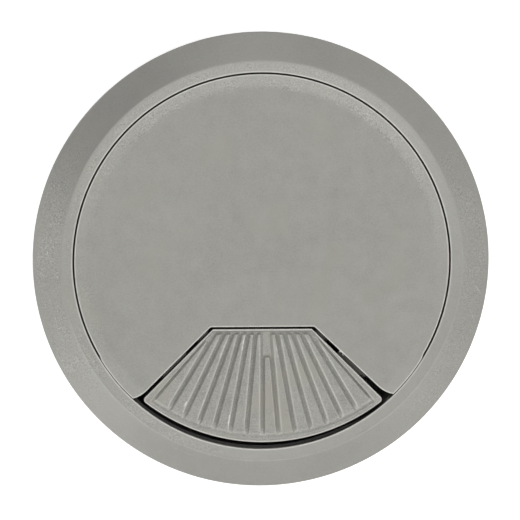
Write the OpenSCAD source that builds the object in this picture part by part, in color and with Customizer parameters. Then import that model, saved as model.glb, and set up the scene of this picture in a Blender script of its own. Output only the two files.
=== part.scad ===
// Round desk cable grommet for an 80 mm hole: a flanged collar that drops into
// the desk top, a flat lid resting in it, and a ribbed fan-shaped cable flap
// hinged in the lid on a steel pin and held shut by a torsion spring.
//
// Frame: origin on the collar's centre line at the desk surface (the underside
// of the flange), +Z up out of the desk, the flap on the -Y side, which is the
// front; left is -X. Units are millimetres.

/* [Collar] */
// Radius of the flange's outer edge
flange_r = 45.0; // [42:0.1:50]
// Height of the flange's crest above the desk
crest_z = 4.6; // [3:0.1:7]
// Radius of the crest between the outer slope and the inner band
crest_r = 39.35; // [38.5:0.05:41]
// Height of the flange's upright outer edge
edge_z = 0.8; // [0.4:0.1:2]
// Outside radius of the sleeve that fills the hole
sleeve_r = 39.7; // [39:0.05:39.8]
// Depth of the sleeve below the desk surface
sleeve_depth = 20; // [12:0.5:30]
// Radius of the bore above the seat ledge
bore_r = 37.27; // [37:0.01:38]
// Inside radius of the seat ledge
ledge_r = 36.8; // [36.3:0.05:37.1]
// Height of the seat ledge's top face
ledge_z = 1.98; // [1:0.02:3]
// Radius of the bore below the seat ledge
lower_bore_r = 37.35; // [36.9:0.05:37.6]
// Distance from the centre line to the centre of the ledge's relief
relief_out = 14; // [10:0.5:20]
// Direction of the ledge's relief, where the flap's right corner swings past
relief_angle = -53.5; // [-60:0.5:-45]
// Radius of the ledge's relief about its own centre
relief_r = 23.24; // [17:0.01:27]
// Number of upright crush ribs round the sleeve
crush_ribs = 12; // [0:2:24]
// Radius over the crush ribs
crush_r = 39.9; // [39.7:0.05:39.95]

/* [Lid] */
// Radius of the lid's rim
lid_r = 36.97; // [36.5:0.01:37.3]
// Radius of the two snug lengths of rim beside the cut-out
snug_r = 37.21; // [37.0:0.01:37.25]
// Height of the lid's flat top
top_z = 3.4; // [2.5:0.1:5]
// Height of the lid plate's underside
under_z = 1.2; // [0.6:0.1:2.4]
// Slope of the raised band round the lid, in degrees
band_slope = 13.8; // [5:0.1:25]
// Radius where the flat top starts to curve up
band_r = 33.6; // [30:0.1:35]
// Outside radius of the lid's legs
leg_r = 36.75; // [36:0.05:36.79]
// Depth of the legs' lower ends below the desk surface
leg_depth = 6; // [3:0.5:12]
// Position of the cut-out's straight edge
chord_y = -13.18; // [-16:0.02:-10]
// Radius of the outward sweep at the rim end of each side of the cut-out
horn_r = 6.0; // [2:0.1:8]
// Distance down the left side of the cut-out to the start of that sweep
horn_left = 17.6; // [16:0.05:19]
// Distance down the right side of the cut-out to the start of that sweep
horn_right = 17.25; // [16:0.05:19]

/* [Flap] */
// Position of the flap's straight edge
flap_y = -13.52; // [-16:0.02:-11]
// Position of the point where the flap's two 45 degree sides would meet
apex_y = -3.76; // [-6:0.02:0]
// Radius of the flap's curved edge
arc_r = 38.15; // [36:0.01:42]
// Sideways position of the centre of the flap's curved edge, from the flap's middle
arc_x = 0.25; // [-1:0.01:1]
// Position of the centre of the flap's curved edge
arc_y = 2.10; // [0:0.01:6]
// Rounding of the flap's two corners on the curved edge
flap_corner_r = 0.8; // [0.2:0.1:1.5]
// Depth of the fan-shaped pocket between the ribs
pocket_depth = 0.6; // [0.3:0.05:1]
// Number of raised ribs in the pocket
ribs = 14; // [8:2:20]
// Angle from one groove to the next
rib_pitch = 5.15; // [3:0.05:8]
// Sideways position of the flap within its end play
flap_x = 0.15; // [-0.15:0.01:0.15]

/* [Hinge] */
// Position of the hinge axis across the lid
hinge_y = -14.95; // [-17:0.05:-14]
// Height of the hinge axis
hinge_z = -0.4; // [-1:0.05:0]
// Radius of the steel pin
pin_r = 0.75; // [0.5:0.05:1]
// Radius of the flap's knuckles
knuckle_r = 1.9; // [1.5:0.05:2.2]
// Wire radius of the return spring
wire_r = 0.25; // [0.15:0.01:0.35]
// Mean radius of the spring's coil
coil_r = 1.25; // [1.1:0.01:1.3]
// Number of turns in the spring's coil
turns = 7; // [4:1:10]

/* [Hidden] */
$fn = 180;
plastic = [0.56, 0.555, 0.53];
steel = [0.72, 0.73, 0.74];

sides = [-1, 1];  // left, right
overlap = 0.1;    // depth that joined shapes run into each other

// ---------------------------------------------------------------- shared

band_rise = tan(band_slope);
band_fillet = 1.6;  // width of the curve from the flat top into the band

// Height of the lid's and collar's shared dished surface at radius r.
function dish_z(r) =
    r <= band_r ? top_z
    : r < band_r + band_fillet ? top_z + band_rise * (r - band_r) * (r - band_r) / (2 * band_fillet)
    : top_z + band_rise * (r - band_r - band_fillet / 2);

// Unit vector down a side of the cut-out or flap, at an angle from -Y.
function side_dir(side, angle) = [side * sin(angle), -cos(angle)];

// Unit vector square to a side's direction, pointing in towards the middle
// when side is -1 or 1 for the left or right side.
function inward(side, dir) = side * [dir[1], -dir[0]];

// Lowest x of a part that starts a distance inner from the middle, on either side.
function start_x(side, inner, width) = side > 0 ? inner : -inner - width;

module along_x(x, length, r) {
    translate([x, hinge_y, hinge_z]) rotate([0, 90, 0]) cylinder(h = length, r = r, $fn = 64);
}

module pin_bore(clearance) {
    along_x(-20, 40, pin_r + clearance);
}

// Block that joins a barrel on the hinge axis to the plate above it.
module hinge_web(x, y, width, length) {
    translate([x, y, hinge_z]) cube([width, length, under_z - hinge_z + 0.3]);
}

// Straight rib under the lid's or flap's plate.
module under_rib(x, y, width, length, depth) {
    translate([x, y, under_z - depth]) cube([width, length, depth + overlap]);
}

// ---------------------------------------------------------------- collar

relief_below = 1.7;  // from the ledge's top face down to the relief's floor
relief_height = 2.1;
crush_width = 1.2;
crush_root = 0.5;    // depth of a crush rib's root inside the sleeve
crush_low = 3;       // from the sleeve's lower end to the ribs
crush_high = 2.5;    // from the ribs to the desk surface

module collar_body() {
    // columns: radius, height
    rotate_extrude()
        polygon([
            // sleeve
            [lower_bore_r + 0.6, -sleeve_depth],
            [sleeve_r - 0.5, -sleeve_depth],
            [sleeve_r, -sleeve_depth + 1.2],
            [sleeve_r, 0],
            // flange
            [flange_r - 0.15, 0],
            [flange_r, 0.15],
            [flange_r, edge_z - 0.25],
            [flange_r - 0.06, edge_z - 0.05],
            [flange_r - 0.22, edge_z + 0.13],
            // crest and inner band
            [crest_r + 0.55, crest_z - 0.20],
            [crest_r + 0.25, crest_z - 0.045],
            [crest_r, crest_z],
            [crest_r - 0.30, crest_z - 0.02],
            [crest_r - 0.55, dish_z(crest_r - 0.55)],
            [bore_r + 0.15, dish_z(bore_r + 0.15)],
            [bore_r + 0.04, dish_z(bore_r) - 0.02],
            [bore_r, dish_z(bore_r) - 0.12],
            // seat ledge and lower bore
            [bore_r, ledge_z],
            [ledge_r + 0.08, ledge_z],
            [ledge_r, ledge_z - 0.08],
            [ledge_r, ledge_z - 1.0],
            [lower_bore_r, ledge_z - 1.4],
            [lower_bore_r, -sleeve_depth + 0.8]
        ]);
}

module ledge_relief() {
    translate([relief_out * cos(relief_angle), relief_out * sin(relief_angle), ledge_z - relief_below])
        cylinder(h = relief_height, r = relief_r);
}

module crush_rib() {
    translate([sleeve_r - crush_root, -crush_width / 2, -sleeve_depth + crush_low])
        cube([crush_r - sleeve_r + crush_root, crush_width, sleeve_depth - crush_low - crush_high]);
}

module collar() color(plastic) {
    union() {
        difference() {
            collar_body();
            ledge_relief();
        }
        if (crush_ribs > 0)
            for (i = [0:crush_ribs - 1])
                rotate([0, 0, (i + 0.5) * 360 / crush_ribs]) crush_rib();
    }
}

// ---------------------------------------------- hinge parts on lid and flap

// inner is the distance from the middle to a part's nearer end
knuckle_inner = 7.2;
knuckle_width = 3;
lug_inner = 13.6;
lug_width = 2;
lug_r = 2.0;
boss_inner = knuckle_inner + knuckle_width + 0.2;
boss_width = lug_inner + overlap - boss_inner;
boss_r = 1.45;

// ------------------------------------------------------------------- lid

seat_z = ledge_z + 0.02;     // underside of the rim
snug_angle = 26;
snug_middles = [-43, -137];  // directions of the middles of the snug lengths
leg_angle = 26;
leg_middles = [90, -8, 188];
leg_thick = 1.6;

cut_left = [-10.06, chord_y];
cut_right = [10.39, chord_y];
cut_left_dir = side_dir(-1, 45.2);
cut_right_dir = side_dir(1, 46.6);
cut_low = under_z - 2;
cut_high = 6;

stiffener_depth = 1.2;
spoke_width = 1;
gusset_inset = 0.4;  // from each face of the lug

// Top corner of the rim at radius r, from the upright edge inward.
function rim_corner(r) = [
    [r, dish_z(r) - 0.14],
    [r - 0.04, dish_z(r) - 0.04],
    [r - 0.14, dish_z(r - 0.14)]
];

module lid_disc() {
    rotate_extrude()
        polygon([
            [0, under_z], [34.9, under_z], [35.2, seat_z], [lid_r, seat_z],
            each rim_corner(lid_r),
            for (i = [4:-1:0]) let (r = band_r + band_fillet * i / 4) [r, dish_z(r)],
            [0, top_z]
        ]);
    snug_root = lid_r - 1;
    for (middle = snug_middles)
        rotate_extrude(angle = snug_angle, start = middle - snug_angle / 2)
            polygon([
                [snug_root, seat_z], [snug_r, seat_z],
                each rim_corner(snug_r),
                [snug_root, dish_z(snug_root) - 0.005]
            ]);
}

module lid_stiffeners() {
    translate([0, 0, under_z - stiffener_depth]) difference() {
        cylinder(h = stiffener_depth + overlap, r = 8.2);
        translate([0, 0, -1]) cylinder(h = 4, r = 7);
    }
    for (angle = [12:39:168])
        rotate([0, 0, angle]) under_rib(7.6, -spoke_width / 2, 27, spoke_width, stiffener_depth);
}

// The waste outside a horn, where a side of the cut-out sweeps outward to the
// rim: distance is how far down the side from its corner the sweep starts.
module sweep_waste(corner, dir, distance, side) {
    // the sweep's centre lies outward of the cut-out
    outward = -inward(side, dir);
    foot = corner + distance * dir;
    centre = foot + horn_r * outward;
    difference() {
        translate([0, 0, cut_low]) linear_extrude(cut_high - cut_low)
            polygon([foot, foot + 8 * dir, foot + 8 * dir + 5 * outward, centre]);
        translate([centre[0], centre[1], cut_low - 1])
            cylinder(h = cut_high - cut_low + 2, r = horn_r + 0.01, $fn = 96);
    }
}

// The material taken out of the disc for the flap, open through the rim.
module lid_cut() {
    left_end = cut_left + 40 * cut_left_dir;
    right_end = cut_right + 40 * cut_right_dir;
    translate([0, 0, cut_low]) linear_extrude(8)
        polygon([cut_left, left_end, [left_end[0], -60], [right_end[0], -60], right_end, cut_right]);
    sweep_waste(cut_left, cut_left_dir, horn_left, -1);
    sweep_waste(cut_right, cut_right_dir, horn_right, 1);
}

// Legs that stand inside the bore.
module lid_legs() {
    for (middle = leg_middles)
        rotate_extrude(angle = leg_angle, start = middle - leg_angle / 2)
            polygon([
                [leg_r - leg_thick, -leg_depth], [leg_r - 0.5, -leg_depth],
                [leg_r, -leg_depth + 0.9], [leg_r, ledge_z + overlap],
                [leg_r - leg_thick, ledge_z + overlap]
            ]);
}

// Lug that carries the pin, with a boss reaching in towards the knuckle.
module lid_lug(side) {
    x = start_x(side, lug_inner, lug_width);
    along_x(x, lug_width, lug_r);
    along_x(start_x(side, boss_inner, boss_width), boss_width, boss_r);
    hinge_web(x, hinge_y - 0.2, lug_width, lug_r + 0.2);
    // gusset on the lug's +Y side
    gusset_top = under_z + 0.2;
    translate([x + gusset_inset, hinge_y + 1.5, 0])
        rotate([90, 0, 90]) linear_extrude(lug_width - 2 * gusset_inset)
            polygon([[0, hinge_z - 1], [0, gusset_top], [5, gusset_top]]);
}

module lid() color(plastic) {
    difference() {
        union() {
            difference() {
                union() {
                    lid_disc();
                    lid_stiffeners();
                }
                lid_cut();
            }
            lid_legs();
            for (side = sides) lid_lug(side);
            // guides each side of the spring's rear leg
            for (x = [-3.15, -1.65]) under_rib(x, -12.4, 0.5, 3.8, 0.9);
        }
        pin_bore(0.01);
    }
}

// ------------------------------------------------------------------ flap

flap_half = apex_y - flap_y;  // half the length of the straight edge
arc_centre = [arc_x, arc_y];
pocket_floor = top_z - pocket_depth;

// The grooves between the ribs fan out from one point, apart from the outermost
// on each side, which start further out and splay more.
fan_apex = [0.05, 1.38];
outer_groove = [12.2, -16.7];  // a point on the right outer groove
outer_splay = 0.863;           // its sideways travel for each mm towards -Y
outer_angle = 40.8;            // its angle from -Y, used for its width

// y where the pocket and ribs start, and a y beyond the curved edge
pocket_top = -13.95;
rib_top = -14.5;
side_rib_top = -16.0;
stub_top = -18.9;
fan_end = -36;

rib_embed = 0.05;  // depth of the ribs below the pocket's floor
heel_thick = 1.4;
stiffener_width = 1;

// Grooves count out from 0 at the middle, negative to the left.
function is_inner(k) = abs(k) < ribs / 2;
function groove_angle(k) = is_inner(k) ? k * rib_pitch : sign(k) * outer_angle;
function groove_x(k, y) =
    is_inner(k)
        ? fan_apex[0] + (fan_apex[1] - y) * tan(k * rib_pitch)
        : sign(k) * (outer_groove[0] + (outer_groove[1] - y) * outer_splay);

// Half the width of groove k, measured along x, at y.
function half_groove(k, y) = (0.36 + 0.14 * (rib_top - y) / 19) / cos(groove_angle(k));

// Point on one edge of groove k at y.
function groove_edge(k, y, side) = [groove_x(k, y) + side * half_groove(k, y), y];

// Rib k lies between groove k and groove k + 1.
module rib(k) {
    top = k == 0 ? stub_top
        : k == -ribs / 2 || k == ribs / 2 - 1 ? side_rib_top
        : rib_top;
    translate([0, 0, pocket_floor - rib_embed]) linear_extrude(pocket_depth + rib_embed)
        polygon([
            groove_edge(k, top, 1),
            groove_edge(k, fan_end, 1),
            groove_edge(k + 1, fan_end, -1),
            groove_edge(k + 1, top, -1)
        ]);
}

// Upright cylinder about the centre of the curved edge, inset from that edge.
module arc_limit(z, height, inset) {
    translate([arc_x, arc_y, z]) cylinder(h = height, r = arc_r - inset);
}

module flap_plate() {
    reach = 30;  // takes the 45 degree sides past the curved edge
    intersection() {
        translate([0, 0, under_z]) linear_extrude(top_z - under_z)
            polygon([
                [-flap_half, flap_y],
                [-flap_half - reach, flap_y - reach],
                [flap_half + reach, flap_y - reach],
                [flap_half, flap_y]
            ]);
        arc_limit(under_z - 1, 6, 0);
    }
}

module flap_pocket() {
    top_half = groove_x(ribs / 2, pocket_top) + 0.15;
    end_half = groove_x(ribs / 2, fan_end) + 0.42;
    intersection() {
        translate([0, 0, pocket_floor]) linear_extrude(2)
            polygon([
                [-top_half, pocket_top], [-end_half, fan_end],
                [end_half, fan_end], [top_half, pocket_top]
            ]);
        arc_limit(0, 8, 1.4);
    }
}

module flap_knuckle(side) {
    x = start_x(side, knuckle_inner, knuckle_width);
    along_x(x, knuckle_width, knuckle_r);
    hinge_web(x, hinge_y - knuckle_r, knuckle_width, knuckle_r + 0.9);
    // heel that meets the lid's underside when the flap is fully open
    translate([x, hinge_y, hinge_z]) rotate([-69, 0, 0])
        translate([0, 0.6, -heel_thick / 2]) cube([knuckle_width, 3.0, heel_thick]);
}

// Tab that closes up against the lid's underside: a tall strip that joins the
// plate, and a lower shelf that reaches out under the lid.
module stop_tab(side) {
    translate([0, 0, under_z - 1.1]) {
        linear_extrude(1.4)
            polygon([[side * 14.2, -19.2], [side * 18.7, -23.7], [side * 19.6, -23.4], [side * 14.7, -18.5]]);
        linear_extrude(1.08)
            polygon([[side * 14.2, -19.2], [side * 18.7, -23.7], [side * 20.7, -22.3], [side * 16.0, -17.6]]);
    }
}

// Where the ray from start along the unit vector dir leaves a circle.
function ray_exit(start, dir, centre, r) =
    let (offset = start - centre, along = offset * dir)
    start + (-along + sqrt(along * along - offset * offset + r * r)) * dir;

// The waste outside the rounded corner between a side and the curved edge.
module corner_waste(side) {
    start = [side * flap_half, flap_y];
    dir = side_dir(side, 45);
    inset = flap_corner_r * inward(side, dir);
    centre = ray_exit(start + inset, dir, arc_centre, arc_r - flap_corner_r);
    on_side = centre - inset;
    on_arc = arc_centre + arc_r * (centre - arc_centre) / norm(centre - arc_centre);
    corner = ray_exit(start, dir, arc_centre, arc_r);
    beyond = centre + 2.2 * (corner - centre);
    difference() {
        linear_extrude(6) polygon([centre, on_side, beyond, on_arc]);
        // a hair over the rounding's radius, so its ends cross the two faces
        // at a slight angle and leave no vanishing slivers where they'd touch
        translate([centre[0], centre[1], -1]) cylinder(h = 8, r = flap_corner_r * 1.004, $fn = 48);
    }
}

module flap() color(plastic) translate([flap_x, 0, 0]) {
    difference() {
        union() {
            difference() {
                flap_plate();
                flap_pocket();
            }
            intersection() {
                union() for (k = [-ribs / 2:ribs / 2 - 1]) rib(k);
                arc_limit(0, 8, 1.68);
            }
            for (side = sides) {
                flap_knuckle(side);
                stop_tab(side);
            }
            // stiffening ribs under the plate; columns: middle x, y, length
            for (row = [[-8.7, -31, 15], [0, -33.6, 14], [8.7, -31, 15]])
                under_rib(row[0] - stiffener_width / 2, row[1], stiffener_width, row[2], 1);
            // guides each side of the spring's front leg
            for (x = [1.15, 2.65]) under_rib(x, -23.6, 0.45, 5.2, 0.8);
        }
        pin_bore(0.05);
        for (side = sides) corner_waste(side);
    }
}

// ------------------------------------------------------------- hinge pin

// A chamfered left end and a head on the right; columns: radius, x.
module hinge_pin() color(steel) {
    translate([0, hinge_y, hinge_z]) rotate([0, 90, 0]) rotate_extrude($fn = 64)
        polygon([
            [0, -16.3], [pin_r - 0.25, -16.3], [pin_r, -16.0], [pin_r, 15.65],
            [1.3, 15.65], [1.3, 16.1], [1.05, 16.35], [0, 16.35]
        ]);
}

// --------------------------------------------------------- return spring

spring_half = 2.17;  // half the coil's length between wire centres
rear_leg = 6;
front_leg = 8;
leg_lift = 0.08;     // rise of each leg's tip above the top of the coil
wire_n = 8;          // points round the wire
coil_n = 22;         // stations in each turn
coil_steps = turns * coil_n;

// A station on the wire's centre line is its position, then the direction
// away from the coil's axis. Leg stations count from 0 at the tip.
function leg_station(x, reach, i) =
    let (out = 1 - i / 3.2)
    [[x, reach * out, coil_r + leg_lift * out], [0, 0, 1]];

function coil_station(i) =
    let (angle = 360 * i / coil_n, away = [0, -sin(angle), cos(angle)])
    [[-spring_half + 2 * spring_half * i / coil_steps, 0, 0] + coil_r * away, away];

spring_path = [
    for (i = [0:3]) leg_station(-spring_half, rear_leg, i),
    for (i = [0:coil_steps]) coil_station(i),
    for (i = [3:-1:0]) leg_station(spring_half, -front_leg, i)
];
path_n = len(spring_path);

function unit(v) = v / norm(v);

// Ring of points round the wire at station i.
function wire_ring(i) =
    let (
        centre = spring_path[i][0],
        away = spring_path[i][1],
        tangent = unit(spring_path[min(i + 1, path_n - 1)][0] - spring_path[max(i - 1, 0)][0]),
        normal = unit(away - (away * tangent) * tangent),
        binormal = cross(tangent, normal)
    )
    [for (j = [0:wire_n - 1]) let (angle = 360 * j / wire_n)
        centre + wire_r * (cos(angle) * normal + sin(angle) * binormal)];

module return_spring() color(steel) {
    points = [for (i = [0:path_n - 1]) each wire_ring(i)];
    walls = [
        for (i = [0:path_n - 2], j = [0:wire_n - 1])
            let (here = i * wire_n, ahead = here + wire_n, k = (j + 1) % wire_n)
            each [[here + j, ahead + j, here + k], [here + k, ahead + j, ahead + k]]
    ];
    ends = [
        [for (j = [0:wire_n - 1]) j],
        [for (j = [wire_n - 1:-1:0]) (path_n - 1) * wire_n + j]
    ];
    translate([0, hinge_y, hinge_z])
        polyhedron(points = points, faces = concat(walls, ends), convexity = 8);
}

collar();
lid();
flap();
hinge_pin();
return_spring();
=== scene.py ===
"""A round flanged collar, the dished lid that sits in it, and a ribbed fan-shaped flap.

The collar's axis is Z, with the flange's underside at z = 0 and the sleeve below it. The flap
fills a cut-out on the lid's -Y side and turns on a steel pin along X, wound by a coil spring.
Shapes are built in millimetres and scaled to metres when they become meshes.
"""

from contextlib import contextmanager
from math import acos, atan2, ceil, copysign, cos, hypot, pi, radians, sin, sqrt, tan

import bmesh
import bpy
import numpy as np
from mathutils import Matrix, Vector
from mathutils.geometry import delaunay_2d_cdt


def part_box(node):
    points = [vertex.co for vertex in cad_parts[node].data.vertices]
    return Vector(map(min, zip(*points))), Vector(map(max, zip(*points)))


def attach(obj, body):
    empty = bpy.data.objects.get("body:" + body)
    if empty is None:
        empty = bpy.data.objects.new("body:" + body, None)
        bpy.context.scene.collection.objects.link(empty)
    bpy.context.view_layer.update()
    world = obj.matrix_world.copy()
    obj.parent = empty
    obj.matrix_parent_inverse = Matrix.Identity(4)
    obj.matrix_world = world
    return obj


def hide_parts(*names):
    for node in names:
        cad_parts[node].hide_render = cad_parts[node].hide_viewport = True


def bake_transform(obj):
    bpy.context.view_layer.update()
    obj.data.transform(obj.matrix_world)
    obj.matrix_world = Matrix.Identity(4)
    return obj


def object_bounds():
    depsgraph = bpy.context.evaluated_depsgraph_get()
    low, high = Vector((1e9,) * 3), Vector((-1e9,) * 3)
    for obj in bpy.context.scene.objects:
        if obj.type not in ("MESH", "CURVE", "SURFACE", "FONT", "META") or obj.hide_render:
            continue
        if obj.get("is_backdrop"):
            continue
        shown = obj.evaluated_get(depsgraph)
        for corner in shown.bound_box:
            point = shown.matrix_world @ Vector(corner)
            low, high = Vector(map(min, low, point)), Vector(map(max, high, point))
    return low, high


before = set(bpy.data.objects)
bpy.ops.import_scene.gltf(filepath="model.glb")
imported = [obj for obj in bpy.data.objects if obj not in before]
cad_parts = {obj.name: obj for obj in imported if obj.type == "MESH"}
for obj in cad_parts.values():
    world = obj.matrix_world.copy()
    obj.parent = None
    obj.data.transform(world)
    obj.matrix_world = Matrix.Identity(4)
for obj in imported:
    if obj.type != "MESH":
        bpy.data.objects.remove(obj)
cad_low, cad_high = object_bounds()
scene = bpy.context.scene

# ---------------------------------------------------------------- dimensions
# Millimetres, and degrees where a name says so.
MM = 0.001
collar_low, collar_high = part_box("collar")
FLANGE_R = round(collar_high.x / MM, 2)
CREST_Z = collar_high.z / MM
SLEEVE_Z = collar_low.z / MM
pin_low, pin_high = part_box("hinge_pin")
HINGE_Y = (pin_low.y + pin_high.y) / 2 / MM
HINGE_Z = (pin_low.z + pin_high.z) / 2 / MM

# collar: outer radii, then the stepped bore
SLEEVE_R, CRUSH_R = 39.7, 39.9
BORE_R, LEDGE_R, LOWER_R, LEDGE_Z = 37.27, 36.8, 37.35, 1.98
# circle that cuts the ledge back: its centre's radius and angle, its own radius
RELIEF_OUT, RELIEF_DEG, RELIEF_R = 14.0, -53.5, 23.24

# lid: general radius, radius beside the cut-out, top and underside
LID_R, SNUG_R, TOP_Z, UNDER_Z = 36.97, 37.21, 3.4, 1.2
# dish: slope of the rim, radius of the flat, width of the blend between them
RISE, FLAT_R, BLEND_W = tan(radians(13.8)), 33.6, 1.6
# cut-out: upper corners, angle and straight length of the sides, radius they sweep out with
CUT_LEFT, CUT_RIGHT = np.array([-10.06, -13.18]), np.array([10.39, -13.18])
CUT_LEFT_DEG, CUT_RIGHT_DEG = 45.2, 46.6
CUT_LEFT_RUN, CUT_RIGHT_RUN, HORN_R = 17.6, 17.25, 6.0

# flap: shift in X, upper edge, where its sides would meet, and its outer arc
FLAP_X, FLAP_Y, APEX_Y = 0.15, -13.52, -3.76
FLAP_HALF = -FLAP_Y + APEX_Y
ARC_R, ARC_X, ARC_Y = 38.15, 0.25, 2.10
FLAP_CORNER_R = 0.8
# fan pocket: depth, grooves either side of the middle one, their pitch and meeting point
POCKET, HALF, PITCH_DEG = 0.6, 7, 5.15
GROOVE_X, GROOVE_Y = 0.05, 1.38
# sides of the fan: half width at FAN_Y, its growth towards -Y, and the angle
FAN_HALF, FAN_Y, FAN_SLOPE, FAN_DEG = 12.2, -16.7, 0.863, 40.8
# upper ends of the pocket, the ribs, the short middle rib and the ribs at the sides
LIP_Y, RIB_TOP, STUB_TOP, SIDE_RIB_TOP = -13.84, -14.30, -18.85, -15.7

PIN_R = 0.75
# spring: wire and coil radii, turns, half length of the coil, reach of the legs in +Y and -Y
WIRE_R, COIL_R, TURNS = 0.25, 1.25, 7
COIL_HALF, REAR_REACH, FRONT_REACH = 2.17, 6.0, 8.0


def dish(r):
    """Height of the dished surface shared by lid and collar at radius r."""
    r = np.asarray(r, float)
    return np.where(
        r <= FLAT_R,
        TOP_Z,
        np.where(
            r < FLAT_R + BLEND_W,
            TOP_Z + RISE * (r - FLAT_R) ** 2 / (2 * BLEND_W),
            TOP_Z + RISE * (r - FLAT_R - BLEND_W / 2),
        ),
    )


def smooth01(x):
    x = np.clip(x, 0, 1)
    return x * x * (3 - 2 * x)


# ------------------------------------------------------------------- objects


@contextmanager
def edited(mesh):
    """The mesh opened as a bmesh, written back at the end."""
    edit = bmesh.new()
    edit.from_mesh(mesh)
    yield edit
    edit.to_mesh(mesh)
    edit.free()


def new_object(name, shape, material, weighted=True):
    """A smooth object from (verts, faces) in millimetres."""
    verts, faces = shape
    mesh = bpy.data.meshes.new(name)
    mesh.from_pydata(
        [tuple(float(c) * MM for c in v) for v in verts], [], [tuple(f) for f in faces]
    )
    mesh.validate()
    with edited(mesh) as edit:
        bmesh.ops.remove_doubles(edit, verts=edit.verts, dist=2e-6)
        bmesh.ops.dissolve_degenerate(edit, edges=edit.edges, dist=1e-7)
    mesh.polygons.foreach_set("use_smooth", [True] * len(mesh.polygons))
    with edited(mesh) as edit:
        # the triangulation can skip a sliver where two points nearly meet
        gaps = [e for e in edit.edges if e.is_boundary]
        bmesh.ops.holes_fill(edit, edges=gaps, sides=3)
        bmesh.ops.recalc_face_normals(edit, faces=edit.faces)
    mesh.materials.append(material)
    obj = bpy.data.objects.new(name, mesh)
    scene.collection.objects.link(obj)
    if weighted:
        modifier = obj.modifiers.new("normals", "WEIGHTED_NORMAL")
        modifier.mode = "FACE_AREA"
        modifier.weight = 60
    return obj


def add_attribute(obj, name, values):
    attribute = obj.data.attributes.new(name, "FLOAT", "POINT")
    attribute.data.foreach_set("value", values.astype(np.float32))


def moulding(name, parts, material):
    """An object of joined parts, with "edge" and "cavity": how far each vertex stands out
    or is set in, in 1/mm."""
    obj = new_object(name, joined(parts), material)
    bm = bmesh.new()
    bm.from_mesh(obj.data)
    bend = np.zeros(len(bm.verts))
    for v in bm.verts:
        total, area = 0.0, 0.0
        for e in v.link_edges:
            if len(e.link_faces) == 2:
                total += e.calc_face_angle_signed() * e.calc_length()
                area += sum(f.calc_area() for f in e.link_faces) / 2
        bend[v.index] = total / area * MM if area > 0 else 0.0
    bm.free()
    for attribute, sign in (("edge", 1), ("cavity", -1)):
        add_attribute(obj, attribute, np.clip(sign * bend, 0, 20))
    return obj


def positions(obj):
    """The x, y and z of the vertices, in millimetres."""
    flat = np.empty(len(obj.data.vertices) * 3)
    obj.data.vertices.foreach_get("co", flat)
    return (flat.reshape(-1, 3) / MM).T


def tag(obj, rim_highlight, crevice):
    """Masks for the material: rims that get a painted highlight, and gaps that get painted shade."""
    add_attribute(obj, "rim_highlight", rim_highlight)
    add_attribute(obj, "crevice", crevice)


# --------------------------------------------------------------------- paths


def rounded(corners, segments=6):
    """A polyline from (x, y, rounding radius) corners; a radius of 0 leaves one sharp."""
    points = [np.array(c[:2], float) for c in corners]
    out = []
    for i, p in enumerate(points):
        r = corners[i][2]
        if r <= 0:
            out.append(p)
            continue
        before, after = points[i - 1] - p, points[(i + 1) % len(points)] - p
        len_before, len_after = np.linalg.norm(before), np.linalg.norm(after)
        before, after = before / len_before, after / len_after
        angle = acos(float(before @ after))
        cut = r / tan(angle / 2)
        if cut > 0.49 * min(len_before, len_after):
            cut = 0.49 * min(len_before, len_after)
            r = cut * tan(angle / 2)
        both = before + after
        centre = p + both / np.linalg.norm(both) * (r / sin(angle / 2))
        start, end = p + before * cut - centre, p + after * cut - centre
        sweep = acos(float(start @ end) / (r * r))
        steps = max(2, int(ceil(segments * sweep / (pi / 2))))
        for j in range(steps + 1):
            f = j / steps
            spoke = (sin((1 - f) * sweep) * start + sin(f * sweep) * end) / sin(sweep)
            out.append(centre + spoke)
    return np.array(out)


def subdivide(path, step, closed=True):
    out = []
    for i in range(len(path) if closed else len(path) - 1):
        a, b = path[i], path[(i + 1) % len(path)]
        count = max(1, int(ceil(np.linalg.norm(b - a) / step)))
        for j in range(count):
            out.append(a + (b - a) * j / count)
    if not closed:
        out.append(path[-1])
    return np.array(out)


def arc(centre, start, end, steps):
    """Points anticlockwise from start to end."""
    first, last = (atan2(*(p - centre)[::-1]) for p in (start, end))
    if last < first:
        last += 2 * pi
    r = np.linalg.norm(start - centre)
    turns = [first + (last - first) * i / steps for i in range(steps + 1)]
    return [centre + r * np.array([cos(t), sin(t)]) for t in turns]


def without_repeats(points):
    path = np.array(points)
    return path[np.linalg.norm(np.roll(path, -1, 0) - path, axis=1) > 1e-4]


def offset_in(path, distance):
    """Each point of an anticlockwise closed path moved inwards."""
    into, onward = path - np.roll(path, 1, 0), np.roll(path, -1, 0) - path
    into /= np.linalg.norm(into, axis=1)[:, None]
    onward /= np.linalg.norm(onward, axis=1)[:, None]
    normal = np.stack([-into[:, 1], into[:, 0]], 1)
    mitre = normal + np.stack([-onward[:, 1], onward[:, 0]], 1)
    mitre /= np.linalg.norm(mitre, axis=1)[:, None]
    return path + mitre * (distance / np.maximum(0.5, (mitre * normal).sum(1)))[:, None]


CHUNK = 4000  # points handled at a time, to bound the memory


def edge_distance(points, path):
    """Distance in the XY plane from each point to a closed path."""
    run = np.roll(path, -1, 0) - path
    out = np.empty(len(points))
    for s in range(0, len(points), CHUNK):
        x, y = points[s : s + CHUNK].T[..., None]
        dx, dy = x - path[:, 0], y - path[:, 1]
        t = np.clip((dx * run[:, 0] + dy * run[:, 1]) / (run**2).sum(1), 0, 1)
        out[s : s + CHUNK] = np.hypot(dx - t * run[:, 0], dy - t * run[:, 1]).min(1)
    return out


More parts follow.
